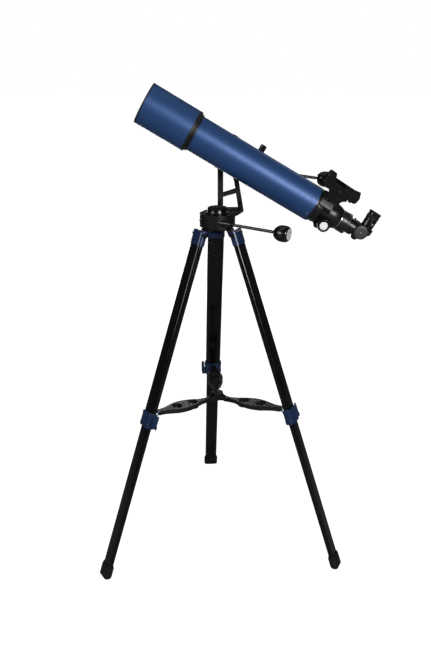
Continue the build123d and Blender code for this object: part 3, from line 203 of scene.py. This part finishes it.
def make_paint(name, dark, light, roughness, grain, bump, coat=0.0, wear=(0.3, 0.3, 0.31),
               wear_amount=0.35, edge_radius=0.0006, specular=0.5):
    """Mottled paint or plastic; grain is the noise scale of its texture, wear its edge colour."""
    surface = Surface(name)
    cloud = surface.noise(scale=6.0, detail=4.0)
    fine = surface.noise(scale=grain, detail=2.0)
    smear = surface.noise(scale=38.0, detail=5.0, roughness=0.6)
    normal = surface.bevel(edge_radius)
    edge = surface.edge_mask(normal)
    base = surface.mix(surface.remap(cloud, span=(0.35, 0.65), to=(0.0, 1.0)), dark, light)
    worn = surface.math("MULTIPLY", edge,
                        surface.remap(smear, span=(0.48, 0.7), to=(0.0, wear_amount)),
                        clamp=True)
    smear_range = (roughness - 0.05, roughness + 0.06)
    surface.set(
        Base_Color=surface.mix(worn, base, wear),
        Coat_Weight=coat, Coat_Roughness=0.12, Specular_IOR_Level=specular,
        Roughness=surface.math("ADD",
                               surface.remap(smear, span=(0.3, 0.7), to=smear_range),
                               surface.remap(fine, span=(0.3, 0.7), to=(-0.02, 0.02))))
    surface.bump(fine, strength=bump, distance=0.0002, normal=normal)


def make_metal(name, colour, roughness, bump=0.1, metallic=1.0):
    """Bare metal with fine grain and faint smears."""
    surface = Surface(name)
    grain = surface.noise(scale=900.0, detail=3.0, roughness=0.6)
    smear = surface.noise(scale=60.0, detail=4.0)
    normal = surface.bevel(radius=0.0004)
    dark = [channel * 0.86 for channel in colour]
    grain_range = (roughness - 0.04, roughness + 0.06)
    surface.set(
        Base_Color=surface.mix(surface.remap(smear, span=(0.3, 0.7), to=(0.0, 1.0)),
                               dark, colour),
        Metallic=metallic,
        Roughness=surface.math("ADD",
                               surface.remap(grain, span=(0.3, 0.7), to=grain_range),
                               surface.remap(smear, span=(0.3, 0.7), to=(-0.02, 0.04))))
    surface.bump(grain, strength=bump, distance=0.0001, normal=normal)


def make_glass(name, tint):
    """Tinted glass with a greenish coating."""
    surface = Surface(name)
    smear = surface.noise(scale=40.0)
    surface.set(Base_Color=(*tint, 1),
                Roughness=surface.remap(smear, span=(0.3, 0.7), to=(0.0, 0.04)),
                Transmission_Weight=0.92, IOR=1.5,
                Coat_Weight=0.5, Coat_Roughness=0.02, Coat_Tint=(0.55, 0.9, 0.75, 1))


make_tube_blue()
make_paint("black_metal", dark=(0.003, 0.003, 0.0035), light=(0.0045, 0.0045, 0.005),
           roughness=0.30, coat=0.12, grain=900, bump=0.05)
make_paint("mount_black", dark=(0.003, 0.003, 0.0035), light=(0.005, 0.005, 0.0055),
           roughness=0.34, grain=650, bump=0.22, wear_amount=0.3)
make_paint("leg_black", dark=(0.0015, 0.0015, 0.002), light=(0.0025, 0.0025, 0.003),
           roughness=0.17, grain=500, bump=0.03, wear_amount=0.25, specular=0.42)
make_paint("drawtube_black", dark=(0.008, 0.008, 0.009), light=(0.011, 0.011, 0.012),
           roughness=0.3, coat=0.12, grain=800, bump=0.03)
make_paint("navy_fittings", dark=(0.005, 0.019, 0.066), light=(0.008, 0.026, 0.082),
           roughness=0.3, coat=0.2, grain=560, bump=0.12,
           wear=(0.12, 0.17, 0.28), wear_amount=0.6, edge_radius=0.0009)
make_paint("black_plastic", dark=(0.004, 0.004, 0.0045), light=(0.006, 0.006, 0.0065),
           roughness=0.42, grain=1100, bump=0.3, wear=(0.08, 0.08, 0.085))
make_paint("gloss_black", dark=(0.0025, 0.0025, 0.003), light=(0.004, 0.004, 0.0045),
           roughness=0.2, coat=0.1, grain=600, bump=0.04, wear=(0.06, 0.06, 0.065))
make_paint("tray_black", dark=(0.004, 0.004, 0.0045), light=(0.006, 0.006, 0.0065),
           roughness=0.36, grain=900, bump=0.25, wear=(0.09, 0.09, 0.09))
make_paint("rubber", dark=(0.004, 0.004, 0.004), light=(0.007, 0.007, 0.007),
           roughness=0.68, grain=1500, bump=0.4, wear=(0.05, 0.05, 0.05), specular=0.3)
make_paint("cover_grey", dark=(0.030, 0.032, 0.034), light=(0.038, 0.040, 0.042),
           roughness=0.34, coat=0.1, grain=900, bump=0.06, wear=(0.2, 0.2, 0.2))
make_metal("screw_steel", colour=(0.62, 0.62, 0.64), roughness=0.22)
make_metal("chrome", colour=(0.82, 0.82, 0.84), roughness=0.08, bump=0.03)
make_metal("silver_cap", colour=(0.92, 0.93, 0.94), roughness=0.42, bump=0.2, metallic=0.45)
make_metal("brass", colour=(0.72, 0.53, 0.22), roughness=0.3)
make_metal("mirror", colour=(0.92, 0.92, 0.93), roughness=0.02, bump=0.0)
make_glass("lens_glass", tint=(0.62, 0.86, 0.80))
make_glass("window_glass", tint=(0.85, 0.45, 0.42))


# ---------------------------------------------------------------- CAD pieces and turned parts
def shade_smooth(mesh):
    mesh.polygons.foreach_set("use_smooth", [True] * len(mesh.polygons))


def split_edges(obj, degrees):
    split = obj.modifiers.new("split", "EDGE_SPLIT")
    split.split_angle = math.radians(degrees)


def dress_cad_pieces():
    """Give every CAD piece its material and smooth shading with crisp edges."""
    slot_of = {part["node"]: part["material_slot"] for part in frame["record"]["subparts"]}
    for name, obj in NODES.items():
        obj.data.materials.clear()
        obj.data.materials.append(MATERIALS[slot_of[name]])
        shade_smooth(obj.data)
        weld = obj.modifiers.new("weld", "WELD")
        weld.merge_threshold = 0.000002
        split_edges(obj, 28)


def revolve(bm, origin, axis, profile, segments):
    """Turn a closed profile of (radius, distance along axis) points, in mm, about axis."""
    axis = axis.normalized()
    side = axis.cross(UP).normalized()
    other_side = axis.cross(side).normalized()
    rows = []
    for k in range(segments):
        angle = 2 * math.pi * k / segments
        outward = side * math.cos(angle) + other_side * math.sin(angle)
        rows.append([bm.verts.new(origin + outward * (radius / 1000) + axis * (along / 1000))
                     for radius, along in profile])
    for k in range(segments):
        row, next_row = rows[k], rows[(k + 1) % segments]
        for i in range(len(profile)):
            j = (i + 1) % len(profile)
            bm.faces.new((row[i], next_row[i], next_row[j], row[j]))
    bmesh.ops.remove_doubles(bm, verts=bm.verts, dist=1e-6)
    bmesh.ops.recalc_face_normals(bm, faces=bm.faces)


def add_turned(name, body, slot, profile, segments, seats, split_degrees=35):
    """One object with a turned shape at each seat (origin, axis), riding on body."""
    bm = bmesh.new()
    for origin, axis in seats:
        revolve(bm, origin, axis, profile, segments)
    mesh = bpy.data.meshes.new(name)
    bm.normal_update()
    bm.to_mesh(mesh)
    bm.free()
    shade_smooth(mesh)
    obj = bpy.data.objects.new(name, mesh)
    scene.collection.objects.link(obj)
    obj.data.materials.append(MATERIALS[slot])
    split_edges(obj, split_degrees)
    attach(obj, body)


# The two slow-motion worm shafts. Each is a point on the shaft, its direction towards the
# knob, and the distances in mm from the point to the knob and to the lock nut.
ALTITUDE_DIP = math.radians(8)
ALTITUDE_SHAFT_OFFSET = 0.044   # shaft below the altitude reference point, square to itself
AZIMUTH_TURN = math.radians(29.3)
AZIMUTH_DIP = math.radians(3.0)
AZIMUTH_SHAFT_OFFSET = 0.034    # shaft from the vertical axis, towards the camera side
SHAFTS = {
    "altitude": dict(
        point=Vector((0.032 - ALTITUDE_SHAFT_OFFSET * math.sin(ALTITUDE_DIP), 0.0895,
                      1.273 - ALTITUDE_SHAFT_OFFSET * math.cos(ALTITUDE_DIP))),
        direction=Vector((math.cos(ALTITUDE_DIP), 0, -math.sin(ALTITUDE_DIP))),
        knob=285.0, nut=38.05),
    "azimuth": dict(
        point=Vector((-AZIMUTH_SHAFT_OFFSET * math.sin(AZIMUTH_TURN),
                      -AZIMUTH_SHAFT_OFFSET * math.cos(AZIMUTH_TURN), 1.0845)),
        direction=Vector((math.cos(AZIMUTH_TURN) * math.cos(AZIMUTH_DIP),
                          -math.sin(AZIMUTH_TURN) * math.cos(AZIMUTH_DIP),
                          -math.sin(AZIMUTH_DIP))),
        knob=208.0, nut=54.05),
}
KNOB_TO_DISC = 34.2

# Profiles: (radius, distance along the axis), mm
KNOB_DISC = [(0, 0.05), (15.9, 0.05), (15.9, 1.4), (15.5, 1.8), (12.6, 1.8), (12.3, 1.5),
             (11.7, 1.5), (11.4, 1.8), (4.0, 2.3), (0, 2.4)]
LOCK_NUT = [(4.02, 0), (6.4, 0), (6.9, 0.3), (6.9, 1.5), (6.4, 1.85), (4.02, 1.85)]
RIVET = [(0, 0), (2.6, 0), (2.6, 0.5), (2.0, 1.1), (0.9, 1.5), (0, 1.55)]
DRAWTUBE_TRIM = [(28.04, -413.5), (28.04, -411.15), (29.8, -411.15), (30.3, -411.7),
                 (30.3, -413.0), (29.9, -413.5)]


def shaft_seat(shaft, distance):
    return shaft["point"] + shaft["direction"] * (distance / 1000), shaft["direction"]


def add_knob_discs():
    """Silver disc with a shallow ring groove on the end of each control knob."""
    for drive in ("altitude", "azimuth"):
        shaft = SHAFTS[drive]
        add_turned(drive + "_knob_disc", drive + "_drive", "silver_cap", KNOB_DISC, 72,
                   [shaft_seat(shaft, shaft["knob"] + KNOB_TO_DISC)])


def add_lock_nuts():
    """Bright hexagonal nut where each worm shaft leaves its barrel."""
    for drive in ("azimuth", "altitude"):
        shaft = SHAFTS[drive]
        add_turned(drive + "_lock_nut", drive + "_drive", "chrome", LOCK_NUT, 6,
                   [shaft_seat(shaft, shaft["nut"])], split_degrees=20)


# Legs, in metres: each runs outward and down from its top point to the floor
LEG_TOP_RADIUS = 0.0361
LEG_RUN = 0.3894
LEG_DROP = 1.1191
FIRST_LEG_DEGREES = 93.6
RIVET_TOP_DROP = 0.0721         # drop from the leg top, before measuring along the leg
RIVET_ALONG = 0.0515            # from there along the leg
RIVET_HALF_SPACING = 0.0138
RIVET_INSET = 0.0099            # from the leg's line to its inner face


def add_leg_rivets():
    """Two rivets side by side on the inner face of each leg, below its bracket."""
    length = math.hypot(LEG_RUN, LEG_DROP)
    run, drop = LEG_RUN / length, LEG_DROP / length
    for i in range(3):
        angle = math.radians(FIRST_LEG_DEGREES + 120 * i)
        outward = Vector((math.cos(angle), math.sin(angle), 0))
        sideways = Vector((-math.sin(angle), math.cos(angle), 0))
        down_leg = outward * run + UP * -drop
        outer_normal = outward * drop + UP * run
        seats = []
        for side in (-1, 1):
            origin = (outward * LEG_TOP_RADIUS + UP * LEG_DROP
                      + down_leg * (RIVET_TOP_DROP / drop + RIVET_ALONG)
                      + sideways * (side * RIVET_HALF_SPACING) - outer_normal * RIVET_INSET)
            seats.append((origin, -outer_normal))
        add_turned("leg_rivets_%d" % (i + 1), "leg_%d" % (i + 1), "black_metal", RIVET, 24,
                   seats)


dress_cad_pieces()
add_knob_discs()
add_lock_nuts()
add_leg_rivets()
# Bright ring where the drawtube leaves the focuser
add_turned("drawtube_trim", "draw", "chrome", DRAWTUBE_TRIM, 96, [(TUBE_CENTRE, TUBE_FORWARD)])


# ---------------------------------------------------------------- floor, light, camera
def make_floor_material():
    """Grey to the light, with a white glow that only the camera sees."""
    material = bpy.data.materials.new("floor_white")
    material.use_nodes = True
    nodes, links = material.node_tree.nodes, material.node_tree.links
    nodes.clear()
    output = nodes.new("ShaderNodeOutputMaterial")
    diffuse = nodes.new("ShaderNodeBsdfDiffuse")
    diffuse.inputs["Color"].default_value = (0.22, 0.22, 0.225, 1)
    emission = nodes.new("ShaderNodeEmission")
    emission.inputs["Color"].default_value = (1, 1, 1, 1)
    light_path = nodes.new("ShaderNodeLightPath")
    glow = nodes.new("ShaderNodeMath")
    glow.operation = "MULTIPLY"
    links.new(light_path.outputs["Is Camera Ray"], glow.inputs[0])
    glow.inputs[1].default_value = 1.0  # glow strength
    links.new(glow.outputs[0], emission.inputs["Strength"])
    both = nodes.new("ShaderNodeAddShader")
    links.new(diffuse.outputs[0], both.inputs[0])
    links.new(emission.outputs[0], both.inputs[1])
    links.new(both.outputs[0], output.inputs["Surface"])
    return material


def add_floor():
    """A wide sheet just under the feet."""
    bm = bmesh.new()
    for x, y in ((-30, -12), (30, -12), (30, 60), (-30, 60)):
        bm.verts.new((x, y, -0.0004))
    bm.faces.new(bm.verts)
    mesh = bpy.data.meshes.new("floor")
    bm.to_mesh(mesh)
    bm.free()
    floor = bpy.data.objects.new("floor", mesh)
    scene.collection.objects.link(floor)
    mesh.materials.append(make_floor_material())


def make_world():
    """White to the camera, dim to reflections, soft and cool to everything else."""
    world = bpy.data.worlds.new("studio")
    scene.world = world
    world.use_nodes = True
    nodes, links = world.node_tree.nodes, world.node_tree.links
    nodes.clear()

    def background(colour, strength):
        node = nodes.new("ShaderNodeBackground")
        node.inputs["Color"].default_value = (*colour, 1)
        node.inputs["Strength"].default_value = strength
        return node

    output = nodes.new("ShaderNodeOutputWorld")
    seen = background(colour=(1, 1, 1), strength=1.0)
    ambient = background(colour=(0.92, 0.96, 1.0), strength=0.17)
    reflected = background(colour=(0.95, 0.97, 1.0), strength=0.045)
    light_path = nodes.new("ShaderNodeLightPath")
    shader = ambient
    for ray, choice in (("Is Glossy Ray", reflected), ("Is Camera Ray", seen)):
        switch = nodes.new("ShaderNodeMixShader")
        links.new(light_path.outputs[ray], switch.inputs[0])
        links.new(shader.outputs[0], switch.inputs[1])
        links.new(choice.outputs[0], switch.inputs[2])
        shader = switch
    links.new(shader.outputs[0], output.inputs["Surface"])


def add_softbox(name, location, target, size, watts):
    """Rectangular area light aimed at target, hidden from the camera."""
    light = bpy.data.lights.new(name, "AREA")
    light.shape = "RECTANGLE"
    light.size, light.size_y = size
    light.energy = watts
    obj = bpy.data.objects.new(name, light)
    scene.collection.objects.link(obj)
    obj.location = location
    aim = Vector(target) - Vector(location)
    obj.rotation_euler = aim.to_track_quat("-Z", "Y").to_euler()
    obj.visible_camera = False


def add_camera():
    data = bpy.data.cameras.new("camera")
    data.sensor_width = 36.0
    data.lens = 37.474
    data.shift_x = -0.0015385
    data.clip_start = 0.05
    data.clip_end = 200
    camera = bpy.data.objects.new("camera", data)
    scene.collection.objects.link(camera)
    camera.location = (-0.0040, -1.9702, 1.4818)
    degrees_below_level = 20.28
    camera.rotation_euler = (math.radians(90 - degrees_below_level), 0.001, -0.001)
    scene.camera = camera


add_floor()
make_world()
add_softbox("key", location=(1.5, -3.05, 1.95), target=(0.1, 0, 1.15), size=(1.35, 1.2), watts=88)
add_softbox("fill", location=(-2.8, -2.0, 2.2), target=(-0.1, 0, 1.0), size=(1.4, 1.6), watts=40)
add_softbox("top", location=(0.0, 0.4, 3.6), target=(0, 0, 1.0), size=(2.4, 2.0), watts=6)
add_softbox("rim", location=(1.6, 2.6, 2.2), target=(0, 0, 0.8), size=(0.8, 1.8), watts=4)
add_softbox("back", location=(-0.4, 3.1, 0.65), target=(0, 0, 1.05), size=(1.4, 1.0), watts=34)
add_camera()
scene.view_settings.view_transform = "Standard"
scene.view_settings.look = "None"
